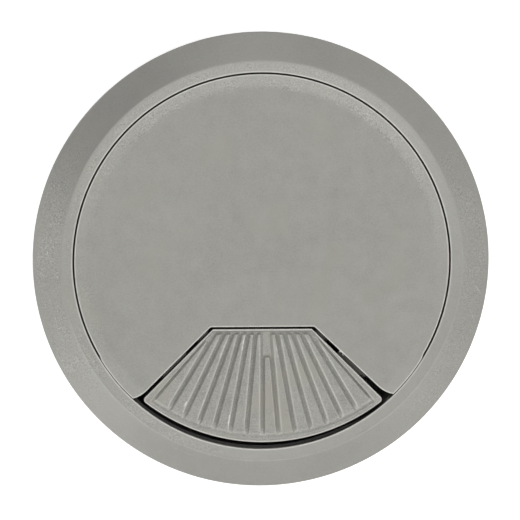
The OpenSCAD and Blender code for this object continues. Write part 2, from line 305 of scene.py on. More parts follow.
def inside(points, path, margin):
    """Mask of the points inside a closed path and further than margin from it."""
    a, b = path, np.roll(path, -1, 0)
    out = edge_distance(points, path) > margin
    for s in range(0, len(points), CHUNK):
        x, y = points[s : s + CHUNK].T[..., None]
        spans = (a[:, 1] > y) != (b[:, 1] > y)
        with np.errstate(divide="ignore", invalid="ignore"):
            crossing = (b[:, 0] - a[:, 0]) * (y - a[:, 1]) / (b[:, 1] - a[:, 1]) + a[:, 0]
        out[s : s + CHUNK] &= (spans & (x < crossing)).sum(1) % 2 == 1
    return out


# -------------------------------------------------------------------- shapes
# A shape is (verts, faces), in millimetres.


def skin(rows, columns, wrap_rows=False, wrap_columns=True):
    """Quads over a grid of vertices stored row by row."""
    faces = []
    for i in range(rows if wrap_rows else rows - 1):
        here, there = i * columns, (i + 1) % rows * columns
        for j in range(columns if wrap_columns else columns - 1):
            k = (j + 1) % columns
            faces.append((here + j, here + k, there + k, there + j))
    return faces


def lathe(profile, steps, start=0.0, end=360.0):
    """A closed (radius, height) profile turned round Z; a part turn gets end caps."""
    full = end - start == 360
    count = len(profile)
    rows = steps if full else steps + 1
    verts = []
    for i in range(rows):
        a = radians(start + (end - start) * i / steps)
        verts += [(r * cos(a), r * sin(a), h) for r, h in profile]
    faces = [(a, d, c, b) for a, b, c, d in skin(rows, count, wrap_rows=full)]
    if not full:
        faces.append(tuple(range(count)))
        faces.append(tuple(steps * count + j for j in range(count - 1, -1, -1)))
    return verts, faces


def prism(outline, low, high, rounding, segments=3):
    """An upright prism of an anticlockwise outline, with rounded edges."""
    bm = bmesh.new()
    lows = [bm.verts.new((x, y, low)) for x, y in outline]
    highs = [bm.verts.new((x, y, high)) for x, y in outline]
    bm.faces.new(lows[::-1])
    bm.faces.new(highs)
    for i in range(len(outline)):
        j = (i + 1) % len(outline)
        bm.faces.new((lows[i], lows[j], highs[j], highs[i]))
    bmesh.ops.recalc_face_normals(bm, faces=bm.faces)
    if rounding > 0:
        bmesh.ops.bevel(
            bm, geom=list(bm.edges), offset=rounding, segments=segments,
            affect="EDGES", profile=0.5, clamp_overlap=True,
        )
    bm.verts.index_update()
    verts = [tuple(v.co) for v in bm.verts]
    faces = [tuple(v.index for v in f.verts) for f in bm.faces]
    bm.free()
    return verts, faces


def block(x_span, y_span, z_span, rounding):
    (x0, x1), (y0, y1) = x_span, y_span
    return prism([(x0, y0), (x1, y0), (x1, y1), (x0, y1)], *z_span, rounding)


def moved(shape, move):
    verts, faces = shape
    return [move(*v) for v in verts], faces


def spun(shape, angle):
    """The shape turned about Z, in radians."""
    c, s = cos(angle), sin(angle)
    return moved(shape, lambda x, y, z: (x * c - y * s, x * s + y * c, z))


def along_x(shape, x0, y0=0.0, z0=0.0):
    """The shape laid over so that its Z runs along X, its X along Y and its Y along Z."""
    return moved(shape, lambda x, y, z: (x0 + z, y0 + x, z0 + y))


def on_hinge(shape, x0):
    return along_x(shape, x0, HINGE_Y, HINGE_Z)


def bush(x0, bore, outer, length, roundings, segments, steps):
    """A tube round the hinge line from x0 on; roundings are those of bore and outside."""
    inner_round, outer_round = roundings
    profile = rounded(
        [
            (bore, 0, inner_round), (outer, 0, outer_round),
            (outer, length, outer_round), (bore, length, inner_round),
        ],
        segments,
    )
    return on_hinge(lathe(profile[::-1], steps), x0)


def joined(parts):
    verts, faces = [], []
    for part_verts, part_faces in parts:
        base = len(verts)
        verts += list(part_verts)
        faces += [tuple(i + base for i in face) for face in part_faces]
    return verts, faces


def cap(ring, points, height, up):
    """The surface height(x, y) filling a closed ring, through the points."""
    flat = [Vector((float(x), float(y))) for x, y in (*ring, *points)]
    count = len(ring)
    border = [(i, (i + 1) % count) for i in range(count)]
    result = delaunay_2d_cdt(flat, border, [], 1, 1e-5)
    xy = np.array([tuple(v) for v in result[0]])
    verts = [(x, y, z) for (x, y), z in zip(xy, height(xy[:, 0], xy[:, 1]))]
    faces = []
    for f in result[2]:
        a, b, c = (xy[i] for i in f[:3])
        ccw = (b[0] - a[0]) * (c[1] - a[1]) - (b[1] - a[1]) * (c[0] - a[0]) > 0
        faces.append(tuple(f) if ccw == up else tuple(f)[::-1])
    return verts, faces


def plate(outline, top, bottom, top_round, bottom_round, top_points, bottom_points, segments=5):
    """A plate with rounded edges; its two faces are heights over (x, y)."""
    turns = [k / segments * pi / 2 for k in range(segments + 1)]
    # (inset, face, rise from that face), from the underside outwards and up
    rings = [(bottom_round * (1 - sin(a)), bottom, bottom_round * (1 - cos(a))) for a in turns]
    rings += [(top_round * (1 - cos(a)), top, -top_round * (1 - sin(a))) for a in turns]
    rings.append((top_round + 0.17, top, 0.0))
    verts, loops = [], []
    for inset, face, rise in rings:
        loop = offset_in(outline, inset)
        loops.append(loop)
        heights = face(loop[:, 0], loop[:, 1]) + rise
        verts += [(x, y, z) for (x, y), z in zip(loop, heights)]
    top_points = top_points[inside(top_points, loops[-1], 0.03)]
    bottom_points = bottom_points[inside(bottom_points, loops[0], 0.03)]
    return joined([
        (verts, skin(len(rings), len(outline))),
        cap(loops[-1], top_points, top, up=True),
        cap(loops[0], bottom_points, bottom, up=False),
    ])


def plate_masks(x, y, z, outline, top):
    """Masks of a plate for painted highlight on its upper edge and painted shade on its side wall
    below that.
    """
    distance = edge_distance(np.stack([x, y], 1), outline)
    depth = top - z
    rim_highlight = (distance < 0.21) * (depth < 0.3)
    return rim_highlight, (distance < 0.16) * smooth01((depth - 0.02) / 0.09)


# ---------------------------------------------------------------- materials


class Shader:
    """A material with a Principled BSDF, and short calls that add nodes to it."""

    def __init__(self, name):
        self.material = bpy.data.materials.new(name)
        self.material.use_nodes = True
        self.tree = self.material.node_tree
        self.tree.nodes.clear()
        output = self.node("OutputMaterial")
        self.bsdf = self.node("BsdfPrincipled")
        self.put(output.inputs[0], self.bsdf.outputs[0])
        self.coord = self.node("TexCoord").outputs["Object"]

    def put(self, socket, value):
        if isinstance(value, bpy.types.NodeSocket):
            self.tree.links.new(value, socket)
        else:
            socket.default_value = value

    def node(self, kind, inputs={}, **settings):
        node = self.tree.nodes.new("ShaderNode" + kind)
        for name, value in settings.items():
            setattr(node, name, value)
        for key, value in inputs.items():
            self.put(node.inputs[key], value)
        return node

    def surface(self, inputs):
        """Sets the BSDF's inputs and gives the finished material."""
        for key, value in inputs.items():
            self.put(self.bsdf.inputs[key], value)
        return self.material

    def calc(self, operation, *values, clamp=False):
        inputs = dict(enumerate(values))
        return self.node("Math", inputs, operation=operation, use_clamp=clamp).outputs[0]

    def fold(self, operation, first, *rest):
        for value in rest:
            first = self.calc(operation, first, value)
        return first

    def plus(self, *values):
        return self.fold("ADD", *values)

    def times(self, *values):
        return self.fold("MULTIPLY", *values)

    def vector(self, operation, *values):
        node = self.node("VectorMath", dict(enumerate(values)), operation=operation)
        return node.outputs["Value" if operation in ("DOT_PRODUCT", "LENGTH") else 0]

    def noise(self, scale, detail=2.0, rough=0.5, vector=None):
        inputs = {
            "Vector": vector or self.coord, "Scale": scale, "Detail": detail, "Roughness": rough,
        }
        return self.node("TexNoise", inputs).outputs["Fac"]

    def voronoi(self, scale):
        return self.node("TexVoronoi", {"Vector": self.coord, "Scale": scale}).outputs

    def ramp(self, value, span, to=(0.0, 1.0), smooth=False):
        """Carries the value from the range span to the range to."""
        inputs = dict(enumerate((value, *span, *to)))
        kind = "SMOOTHSTEP" if smooth else "LINEAR"
        return self.node("MapRange", inputs, interpolation_type=kind).outputs[0]

    def swing(self, value, span, amount):
        return self.ramp(value, span, to=(-amount, amount))

    def mix(self, factor, first, second, blend="MIX"):
        inputs = {0: factor}
        for key, colour in ((6, first), (7, second)):
            inputs[key] = (*colour, 1.0) if isinstance(colour, tuple) else colour
        return self.node("Mix", inputs, data_type="RGBA", blend_type=blend).outputs[2]

    def multiplied(self, colour, channels):
        factor = self.node("CombineColor", dict(enumerate(channels))).outputs[0]
        return self.mix(1.0, colour, factor, blend="MULTIPLY")

    def bump(self, height, strength, distance):
        inputs = {"Strength": strength, "Distance": distance, "Height": height}
        return self.node("Bump", inputs).outputs[0]

    def attribute(self, name):
        return self.node("Attribute", attribute_name=name).outputs["Fac"]

    def scratch(self, start, end, half_width):
        """A mask along a line in the XY plane, in millimetres, broken up by noise."""
        fade = 0.35  # share of the length that fades at each end
        start, end = np.array(start, float) * MM, np.array(end, float) * MM
        length = float(np.linalg.norm(end - start))
        x, y = (end - start) / length
        relative = self.vector("SUBTRACT", self.coord, (*start, 0))
        along = self.vector("DOT_PRODUCT", relative, (x, y, 0))
        across = self.vector("DOT_PRODUCT", relative, (-y, x, 0))
        centred = self.calc("SUBTRACT", self.noise(scale=500, detail=1), 0.5)
        waver = self.times(centred, 0.25 * MM)
        distance = self.calc("ABSOLUTE", self.plus(across, waver), 0.0)
        line = self.ramp(distance, span=(half_width * MM, 0.0), smooth=True)
        ends = self.times(
            self.ramp(along, span=(0.0, fade * length), smooth=True),
            self.ramp(along, span=(length, (1 - fade) * length), smooth=True),
        )
        patches = self.noise(scale=1400, detail=3)
        broken = self.ramp(patches, span=(0.42, 0.58), to=(0.15, 1.0), smooth=True)
        return self.times(line, ends, broken)


BASE_GREY = (0.330, 0.326, 0.302)


def shade(colour, factor):
    return tuple(min(1.0, c * factor) for c in colour)


def painted_glints(mat, colour, glint_sectors, upper):
    """Painted glint: coarser grain and bright specks, each in a sector of a ring where the lamps
    catch the grain.
    """
    flat = mat.vector("MULTIPLY", mat.coord, (1.0, 1.0, 0.0))
    radius = mat.vector("LENGTH", flat)
    unit = mat.vector("NORMALIZE", flat)
    cells = mat.voronoi(scale=3900)
    pick = mat.node("SeparateColor", {0: cells["Color"]}).outputs[0]
    glint_speck = mat.times(
        mat.ramp(cells["Distance"], span=(0.5, 0.15), smooth=True),
        mat.ramp(pick, span=(0.55, 0.95)),  # only some cells carry one
    )
    coarse = mat.calc("SUBTRACT", mat.noise(scale=3300, detail=4, rough=0.75), 0.5)
    for degrees, spread, inner, outer, grain, glint_brightness in glint_sectors:
        direction = (cos(radians(degrees)), sin(radians(degrees)), 0.0)
        sector_edge = (cos(radians(spread)), cos(radians(spread * 0.45)))
        inner_edge = ((inner - 0.4) * MM, (inner + 0.6) * MM)
        outer_edge = ((outer + 0.4) * MM, (outer - 0.8) * MM)
        facing = mat.vector("DOT_PRODUCT", unit, direction)
        sector = mat.ramp(facing, span=sector_edge, smooth=True)
        beyond_inner = mat.ramp(radius, span=inner_edge, smooth=True)
        within_outer = mat.ramp(radius, span=outer_edge, smooth=True)
        patches = mat.noise(scale=260, detail=3)
        patchy = mat.ramp(patches, span=(0.35, 0.65), to=(0.35, 1.0), smooth=True)
        where = mat.times(
            mat.times(sector, beyond_inner), mat.times(within_outer, patchy), upper
        )
        glint_grain = mat.times(mat.calc("MULTIPLY_ADD", coarse, grain, 0.0), where)
        lift = mat.plus(mat.times(glint_speck, glint_brightness, where), glint_grain)
        colour = mat.multiplied(colour, [mat.plus(lift, 1.0) for _ in range(3)])
    return colour


def satin_grey(name, *, marks_above=0.6, tone=1.0, grain=1.0, edge_wear_and_highlight=0.3, mottle=1.0,
               hollow_shade=0.4, rim_highlight=0.85, scuffs, glint_sectors=()):
    """Moulded plastic in metallic grey: grain, flakes, drift, wear and painted highlight on edges,
    painted shade in hollows.

    scuffs: (start, end, half width in mm, strength), with the ends as (x, y) in mm.
    glint_sectors: painted glint, as (sector's middle and half spread in degrees, inner and outer
    radius in mm, added grain, speck brightness). Both lie only above the height marks_above, in mm.
    """
    mat = Shader(name)
    base = shade(BASE_GREY, tone)
    drift = mat.noise(scale=45, detail=3, rough=0.55)
    blotch = mat.noise(scale=420, detail=4, rough=0.6)
    fine = mat.noise(scale=3000, detail=3, rough=0.7)
    flake = mat.voronoi(scale=5200)["Distance"]
    # a high power keeps only the hearts of the flakes
    sparkle = mat.calc("POWER", mat.calc("SUBTRACT", 1.0, flake, clamp=True), 3.0)
    brightness = mat.plus(
        mat.swing(drift, span=(0.3, 0.7), amount=0.016 * mottle),
        1.0,
        mat.swing(blotch, span=(0.25, 0.75), amount=0.03 * mottle),
        mat.times(mat.calc("SUBTRACT", fine, 0.5), 0.30 * grain),
        mat.times(mat.calc("SUBTRACT", sparkle, 0.3), 0.06 * grain),
    )
    colour = mat.multiplied(base, [brightness] * 3)
    # a warmer cast here and there
    cast = mat.ramp(
        mat.noise(scale=120, detail=2), span=(0.52, 0.72), to=(0.0, 0.35 * mottle), smooth=True
    )
    colour = mat.mix(cast, colour, tuple(c * k for c, k in zip(base, (1.015, 1.0, 0.94))))
    # edges are lighter, partly as rubbed wear and partly as painted highlight; hollows get painted
    # shade
    edge = mat.times(
        mat.ramp(mat.attribute("edge"), span=(0.8, 3.5), smooth=True),
        mat.ramp(
            mat.noise(scale=900, detail=3), span=(0.3, 0.6), to=(0.45, 1.0), smooth=True
        ),
        edge_wear_and_highlight,
    )
    colour = mat.mix(edge, colour, shade(base, 1.6))
    # painted shade in hollows, found by how far each vertex is set in
    painted_hollow_shade = mat.ramp(mat.attribute("cavity"), span=(0.6, 4.0), to=(0.0, hollow_shade), smooth=True)
    colour = mat.mix(painted_hollow_shade, colour, shade(base, 0.45))
    # painted highlight along rims and along the grooves' outer edges
    painted_rim_highlight = mat.times(
        mat.attribute("rim_highlight"),
        mat.ramp(mat.noise(scale=700, detail=2), span=(0.3, 0.6), to=(rim_highlight * 0.7, rim_highlight)),
    )
    colour = mat.mix(painted_rim_highlight, colour, shade(base, 1.75))
    # painted shade: narrow gaps, where ambient occlusion is low, go nearly black
    near = mat.node("AmbientOcclusion", {"Distance": 1.3 * MM}, samples=8).outputs["AO"]
    shut = mat.ramp(near, span=(0.97, 0.72), to=(0.0, 0.95), smooth=True)
    gap_shade = mat.times(mat.attribute("crevice"), shut)
    colour = mat.mix(gap_shade, colour, shade(base, 0.12))

    height = mat.node("SeparateXYZ", {0: mat.coord}).outputs[2]
    upper_span = (marks_above * MM, (marks_above + 0.3) * MM)
    upper = mat.ramp(height, span=upper_span, smooth=True)
    # painted glint: grain and specks lightened in the sectors where the lamps catch them
    if glint_sectors:
        colour = painted_glints(mat, colour, glint_sectors, upper)
    masks = [
        mat.times(mat.scratch(start, end, half_width), strength)
        for start, end, half_width, strength in scuffs
    ]
    # scuffs are lighter, a little smoother and slightly sunk
    scuff = mat.times(mat.fold("MAXIMUM", *masks), upper)
    colour = mat.mix(scuff, colour, shade(base, 2.2))
    rough = mat.plus(
        mat.swing(blotch, span=(0.25, 0.75), amount=0.035),
        0.46,
        mat.swing(fine, span=(0.2, 0.8), amount=0.03),
    )
    relief = mat.plus(mat.times(fine, 0.6), mat.times(flake, -0.4))
    relief = mat.calc("SUBTRACT", relief, mat.times(scuff, 0.8))
    return mat.surface({
        "Base Color": colour,
        "Roughness": mat.calc("SUBTRACT", rough, mat.times(scuff, 0.08)),
        "Metallic": 0.35,
        "Normal": mat.bump(relief, strength=0.22 * grain, distance=0.018 * MM),
        "Specular IOR Level": 0.45,
    })


def steel(name, rough, scale):
    """Drawn steel; scale stretches the noise into lines."""
    mat = Shader(name)
    stretched = mat.node("Mapping", {"Vector": mat.coord, "Scale": scale}).outputs[0]
    lines = mat.noise(scale=900, detail=4, rough=0.6, vector=stretched)
    spots = mat.ramp(mat.noise(scale=2500, detail=2), span=(0.62, 0.75), to=(0.0, 0.5))
    tint = mat.ramp(lines, span=(0.3, 0.7))
    colour = mat.mix(tint, (0.50, 0.50, 0.49), (0.64, 0.64, 0.63))
    return mat.surface({
        "Base Color": mat.mix(spots, colour, (0.33, 0.31, 0.29)),
        "Metallic": 1.0,
        "Roughness": mat.plus(mat.ramp(lines, span=(0.3, 0.7), to=(-0.07, 0.09)), rough),
        "Normal": mat.bump(lines, strength=0.25, distance=0.01 * MM),
    })


def pale_floor():
    """Pale floor that glows to the camera, except inside the sleeve."""
    mat = Shader("floor_pale")
    radius = mat.vector("LENGTH", mat.coord)
    outside = mat.ramp(radius, span=(0.0386, 0.0394), to=(0.0, 0.45))
    to_camera = mat.node("LightPath").outputs["Is Camera Ray"]
    return mat.surface({
        "Base Color": (0.92, 0.92, 0.92, 1),
        "Roughness": 0.9,
        "Emission Color": (1, 1, 1, 1),
        "Emission Strength": mat.times(to_camera, outside),
    })


collar_grey = satin_grey(
    "collar_satin_grey",
    scuffs=[
        ((-42.9, 3.2), (-41.2, -0.6), 0.14, 0.5), ((-43.8, -2.2), (-42.6, -3.4), 0.16, 0.45),
        ((-42.2, -6.0), (-41.4, -9.2), 0.14, 0.4), ((-40.9, -10.2), (-40.2, -13.4), 0.14, 0.4),
        ((41.6, -4.6), (44.0, -7.6), 0.12, 0.4), ((41.0, -9.5), (42.2, -12.4), 0.12, 0.35),
        ((8.1, -36.55), (9.2, -36.25), 0.16, 0.5), ((-18, -36.6), (-13.5, -38.6), 0.14, 0.35),
    ],
    glint_sectors=[
        (183, 44, 39.8, 44.6, 2.1, 0.6), (-8, 50, 39.8, 44.6, 1.7, 0.4),
        (228, 38, 37.7, 39.7, 1.9, 0.6), (110, 95, 37.6, 39.5, 1.7, 0.45),
    ],
)
lid_grey = satin_grey(
    "lid_satin_grey", marks_above=2.4, grain=1.25, mottle=1.3,
    scuffs=[
        ((15.3, -17.75), (16.5, -18.95), 0.26, 0.9), ((-36.2, -5.0), (-35.6, -8.0), 0.12, 0.25),
    ],
    glint_sectors=[(88, 98, 33.9, 36.9, 1.9, 0.46), (212, 40, 33.9, 36.9, 1.0, 0.25)],
)
flap_grey = satin_grey(
    "flap_satin_grey", marks_above=2.3, tone=1.03, grain=3.5, edge_wear_and_highlight=0.35, mottle=2.4,
    hollow_shade=0.45, rim_highlight=0.8,
    scuffs=[
        ((-3.3, -14.4), (-3.9, -18.4), 0.24, 0.85), ((-7.2, -16.2), (-8.5, -19.9), 0.26, 0.75),
        ((-6.0, -29.2), (-6.8, -33.6), 0.24, 0.95), ((-14.8, -27.6), (-15.3, -29.1), 0.26, 1.0),
        ((-11.1, -27.2), (-11.7, -29.0), 0.26, 0.7), ((-9.6, -20.2), (-10.8, -23.6), 0.2, 0.35),
        ((2.6, -16.2), (3.4, -20.0), 0.3, 0.4), ((-4.6, -22.4), (-5.2, -27.0), 0.18, 0.4),
        ((11.4, -17.6), (14.3, -23.6), 0.12, 0.25), ((6.6, -18.6), (8.0, -24.6), 0.12, 0.3),
    ],
)
pin_steel = steel("pin_steel", rough=0.28, scale=(1.5, 20, 20))
spring_steel = steel("spring_steel", rough=0.33, scale=(6, 6, 6))

# ------------------------------------------------------------------- collar

# (radius, height, rounding), from the bore's foot round the outside and back down the bore
collar_profile = rounded(
    [
        (LOWER_R, SLEEVE_Z + 0.8, 0.2), (LOWER_R + 0.6, SLEEVE_Z, 0.2),
        (SLEEVE_R - 0.5, SLEEVE_Z, 0.3), (SLEEVE_R, SLEEVE_Z + 1.2, 0.5),
        (SLEEVE_R, 0.0, 0.12), (FLANGE_R, 0.0, 0.14), (FLANGE_R, 0.86, 0.34),
        (39.54, CREST_Z + 0.06, 0.55), (BORE_R + 0.4, float(dish(BORE_R + 0.4)), 0),
        (BORE_R, float(dish(BORE_R)), 0.15), (BORE_R, LEDGE_Z, 0.06),
        (LEDGE_R, LEDGE_Z, 0.09), (LEDGE_R, LEDGE_Z - 1.0, 0.12),
        (LOWER_R, LEDGE_Z - 1.4, 0.2),
    ],
    segments=7,
)


def relieved(x, y, z):
    """The ledge is cut back where the flap's right corner swings past."""
    r, t = hypot(x, y), atan2(y, x) - radians(RELIEF_DEG)
    if not 0.3 < z < LEDGE_Z + 0.05 or r > BORE_R - 0.01 or abs(t) > 0.6:
        return x, y, z
    cut = RELIEF_OUT * cos(t) + sqrt(RELIEF_R**2 - (RELIEF_OUT * sin(t)) ** 2)
    scale = max(1.0, min(cut, BORE_R - 0.01) / r)
    return x * scale, y * scale, z


collar_parts = [moved(lathe(subdivide(collar_profile, 1.6), 288), relieved)]
for i in range(12):  # upright bars on the sleeve
    section = [(39.2, -0.6), (CRUSH_R, -0.42), (CRUSH_R, 0.42), (39.2, 0.6)]
    bar = prism(section, SLEEVE_Z + 3, -2.5, rounding=0.14)
    collar_parts.append(spun(bar, radians((i + 0.5) * 30)))
collar = moulding("collar_moulding", collar_parts, collar_grey)

x, y, z = positions(collar)
r, bore_top = np.hypot(x, y), float(dish(BORE_R))
# painted highlight on the bore's rim, painted shade down the bore's wall
tag(
    collar,
    rim_highlight=(r < BORE_R + 0.3) * (z > bore_top - 0.2),
    crevice=(r < BORE_R + 0.1) * (z > 0.4) * smooth01((bore_top - 0.01 - z) / 0.08),
)

# ---------------------------------------------------------------------- lid


def horn(corner, direction, run, side):
    """A side of the cut-out sweeps outward to the rim: the sweep's centre, start and end."""
    normal = side * np.array([direction[1], -direction[0]])
    start = corner + run * direction
    centre = start + HORN_R * normal
    low, high = 0.0, pi / 2
    for _ in range(50):
        turn = (low + high) / 2
        end = centre + HORN_R * (sin(turn) * direction - cos(turn) * normal)
        low, high = (turn, high) if np.linalg.norm(end) < SNUG_R else (low, turn)
    return centre, start, end


def rim_point(degrees):
    """A point of the rim, whose radius is a little larger beside the cut-out."""
    r = LID_R
    if degrees < -30 or degrees > 210:
        near = min(abs(degrees + 30), abs(degrees - 210))
        r = LID_R + (SNUG_R - LID_R) * smooth01(near / 2.0)
    a = radians(degrees)
    return np.array([r * cos(a), r * sin(a)])


left_dir = np.array([-sin(radians(CUT_LEFT_DEG)), -cos(radians(CUT_LEFT_DEG))])
right_dir = np.array([sin(radians(CUT_RIGHT_DEG)), -cos(radians(CUT_RIGHT_DEG))])
left_centre, left_foot, left_tip = horn(CUT_LEFT, left_dir, CUT_LEFT_RUN, 1)
right_centre, right_foot, right_tip = horn(CUT_RIGHT, right_dir, CUT_RIGHT_RUN, -1)
rim_start = np.degrees(atan2(right_tip[1], right_tip[0]))
rim_end = np.degrees(atan2(left_tip[1], left_tip[0])) + 360
rim = [rim_point(a) for a in np.linspace(rim_start, rim_end, 560)]
cut_out = rounded([(*left_foot, 0), (*CUT_LEFT, 0.45), (*CUT_RIGHT, 0.45), (*right_foot, 0)])
lid_outline = without_repeats(
    arc(right_centre, right_foot, right_tip, 10)
    + rim[1:-1]
    + arc(left_centre, left_tip, left_foot, 10)
    + list(subdivide(cut_out, 0.8, closed=False))[1:-1]
)


def lid_top(x, y):
    return dish(np.hypot(x, y))


def lid_bottom(x, y):
    return np.interp(np.hypot(x, y), [34.9, 35.2], [UNDER_Z, LEDGE_Z + 0.02])


def circles(radii, step):
    """Points along circles, about step apart."""
    points = []
    for r in radii:
        count = max(6, int(2 * pi * r / step))
        for t in np.linspace(0, 2 * pi, count, endpoint=False):
            points.append((r * cos(t), r * sin(t)))
    return np.array(points)


blend_radii = [33.3, 33.6, 33.8, 34.0, 34.2, 34.4, 34.6, 34.8, 35.0, 35.2, 35.5, 36.0, 36.5]
lid_top_points = np.concatenate([
    circles([2, 6, 10, 15, 20, 25, 29, 31.5], 3.2), circles([32.8], 1.2),
    circles(blend_radii, 0.55),
])
lid_bottom_points = np.concatenate([
    circles([4, 10, 16, 22, 28, 33], 4), circles([34.9, 35.2, 36.0], 0.7)
])
lid_parts = [
    plate(lid_outline, lid_top, lid_bottom, 0.20, 0.10, lid_top_points, lid_bottom_points)
]
# ring and radial ribs underneath
ring = rounded([(7.0, 0.0, 0.2), (8.2, 0.0, 0.2), (8.2, 1.35, 0), (7.0, 1.35, 0)], 4)
lid_parts.append(lathe(ring, 96))
for degrees in (12, 51, 90, 129, 168):
    rib = block((7.6, 34.6), (-0.5, 0.5), (UNDER_Z - 1.2, UNDER_Z + 0.15), 0.14)
    lid_parts.append(spun(rib, radians(degrees)))
# curved legs that reach down inside the collar
leg = rounded(
    [
        (35.15, -6.0, 0.25), (36.25, -6.0, 0.2), (36.75, -5.1, 0.3),
        (36.75, LEDGE_Z + 0.1, 0), (35.15, LEDGE_Z + 0.1, 0),
    ],
    4,
)
for degrees in (90, -8, 188):
    lid_parts.append(lathe(leg, 26, degrees - 13, degrees + 13))
# pin holders: a lug with its blocks and gusset, and a slimmer boss beside it
for lug_x, boss_x in ((13.6, 10.4), (-15.6, -13.7)):
    lug_span = (lug_x, lug_x + 2)
    gusset = [
        (HINGE_Y + 1.5, HINGE_Z - 1), (HINGE_Y + 6.5, UNDER_Z + 0.2), (HINGE_Y + 1.5, UNDER_Z + 0.2),
    ]
    lid_parts += [
        bush(lug_x, PIN_R, 2.0, 2.0, (0.08, 0.15), 3, 48),
        bush(boss_x, PIN_R, 1.45, 3.3, (0.05, 0.12), 3, 40),
        block(lug_span, (HINGE_Y + 0.95, HINGE_Y + 2.0), (HINGE_Z, UNDER_Z + 0.2), 0.1),
        block(lug_span, (HINGE_Y - 0.2, HINGE_Y + 1.2), (HINGE_Z + 0.9, UNDER_Z + 0.2), 0.1),
        along_x(prism(gusset, 0, 1.2, rounding=0.1), lug_x + 0.4),
    ]
# two short ribs near the spring's rear leg
for x in (-3.15, -1.65):
    lid_parts.append(block((x, x + 0.5), (-12.4, -8.6), (UNDER_Z - 0.9, UNDER_Z + 0.1), 0.1))
# two small burrs on the cut-out's right side: (along, into the lid), low, high
right_normal = -np.array([right_dir[1], -right_dir[0]])
for burr, low, high in (
    ([(6.7, 0.25), (6.85, -0.10), (7.15, -0.22), (7.35, -0.08), (7.45, 0.25)], 2.5, 3.22),
    ([(7.6, 0.25), (7.7, -0.13), (7.95, -0.27), (8.3, -0.12), (8.45, 0.25)], 2.4, 3.12),
):
    section = [tuple(CUT_RIGHT + t * right_dir + w * right_normal) for t, w in burr]
    lid_parts.append(prism(section, low, high, rounding=0.05, segments=2))
lid = moulding("lid_moulding", lid_parts, lid_grey)

x, y, z = positions(lid)
# painted highlight along the plate's upper edges, painted shade down its side walls
tag(lid, *plate_masks(x, y, z, lid_outline, lid_top(x, y)))

# --------------------------------------------------------------------- flap


def fan_half_width(y):
    return FAN_HALF + (FAN_Y - y) * FAN_SLOPE


def groove_offset(k, x, y):
    """Signed distance in X and Y from groove k, counted from the middle one."""
    if abs(k) < HALF:
        middle = GROOVE_X + (GROOVE_Y - y) * tan(radians(k * PITCH_DEG))
        return (x - middle) * cos(radians(k * PITCH_DEG))
    return (x - copysign(1, k) * fan_half_width(y)) * cos(radians(FAN_DEG))


def away_from_middle(k):
    return 1 if k > 0 else -1


def groove_highlight_mask(x, y):
    """How near a point is to a groove's edge away from the middle, where a painted highlight goes.
    """
    radial = np.hypot(x - ARC_X, y - ARC_Y)
    near = np.zeros(x.shape)
    for k in range(1 - HALF, HALF):
        out = away_from_middle(k) * groove_offset(k, x, y)
        near = np.maximum(near, np.exp(-(((out - 0.62) / 0.17) ** 2)))
    return near * smooth01((RIB_TOP - 0.8 - y) / 1.0) * smooth01((ARC_R - 1.8 - radial) / 1.0)


def flap_top(x, y):
    """Height of the flap's top: a fan-shaped pocket with raised ribs between soft valleys."""
    radial = np.hypot(x - ARC_X, y - ARC_Y)
    margin = 0.15 + 0.27 * np.clip((LIP_Y - y) / 22, 0, 1)
    side = (fan_half_width(y) + margin - np.abs(x)) * cos(radians(FAN_DEG))
    pocket = smooth01(side / 0.36 + 0.1) * smooth01((LIP_Y - y) / 0.36)
    pocket = pocket * smooth01((ARC_R - 0.7 - radial) / 0.6)
    rib = np.ones(x.shape)
    index = np.full(x.shape, -HALF - 1)  # which rib the point is on
    for k in range(-HALF, HALF + 1):
        offset = groove_offset(k, x, y)
        if abs(k) < HALF:
            # the wall away from the middle is the gentler one
            out = away_from_middle(k) * offset + 0.20
            wall = smooth01(np.where(out > 0, out - 0.03, -out * 2 - 0.03) / 0.80)
        else:
            wall = smooth01((np.abs(offset) - 0.05) / 0.44)
        rib = np.minimum(rib, wall)
        index += (offset > 0).astype(int)
    at_side = (index <= -HALF) | (index >= HALF - 1)
    start = np.where(index == 0, STUB_TOP, np.where(at_side, SIDE_RIB_TOP, RIB_TOP))
    rib = rib * smooth01((start - y) / 0.5) * smooth01((ARC_R - 1.15 - radial) / 0.6)
    depth = POCKET * (1 - 0.50 * smooth01((radial - ARC_R + 3.2) / 1.6))
    return TOP_Z - depth * pocket * (1 - rib)


def flap_bottom(x, y):
    return np.full(np.shape(x), UNDER_Z)


arc_centre = np.array([ARC_X, ARC_Y])


def flap_corner(side):
    """Rounding between a straight side and the outer arc: its centre and its two ends."""
    direction = np.array([side, -1]) / sqrt(2)
    inward = side * np.array([direction[1], -direction[0]])
    start = np.array([side * FLAP_HALF, FLAP_Y]) + FLAP_CORNER_R * inward - arc_centre
    b = float(start @ direction)
    run = -b + sqrt(b * b - float(start @ start) + (ARC_R - FLAP_CORNER_R) ** 2)
    centre = start + run * direction + arc_centre
    spoke = centre - arc_centre
    on_arc = arc_centre + spoke / np.linalg.norm(spoke) * ARC_R
    return centre, centre - FLAP_CORNER_R * inward, on_arc


left_centre, left_side, left_arc = flap_corner(-1)
right_centre, right_side, right_arc = flap_corner(1)
upper_edge = rounded(
    [(*right_side, 0), (FLAP_HALF, FLAP_Y, 0.35), (-FLAP_HALF, FLAP_Y, 0.35), (*left_side, 0)], 5
)
flap_outline = without_repeats(
    arc(left_centre, left_side, left_arc, 8)
    + arc(arc_centre, left_arc, right_arc, 180)[1:-1]
    + arc(right_centre, right_arc, right_side, 8)
    + list(subdivide(upper_edge, 0.35, closed=False))[1:-1]
)

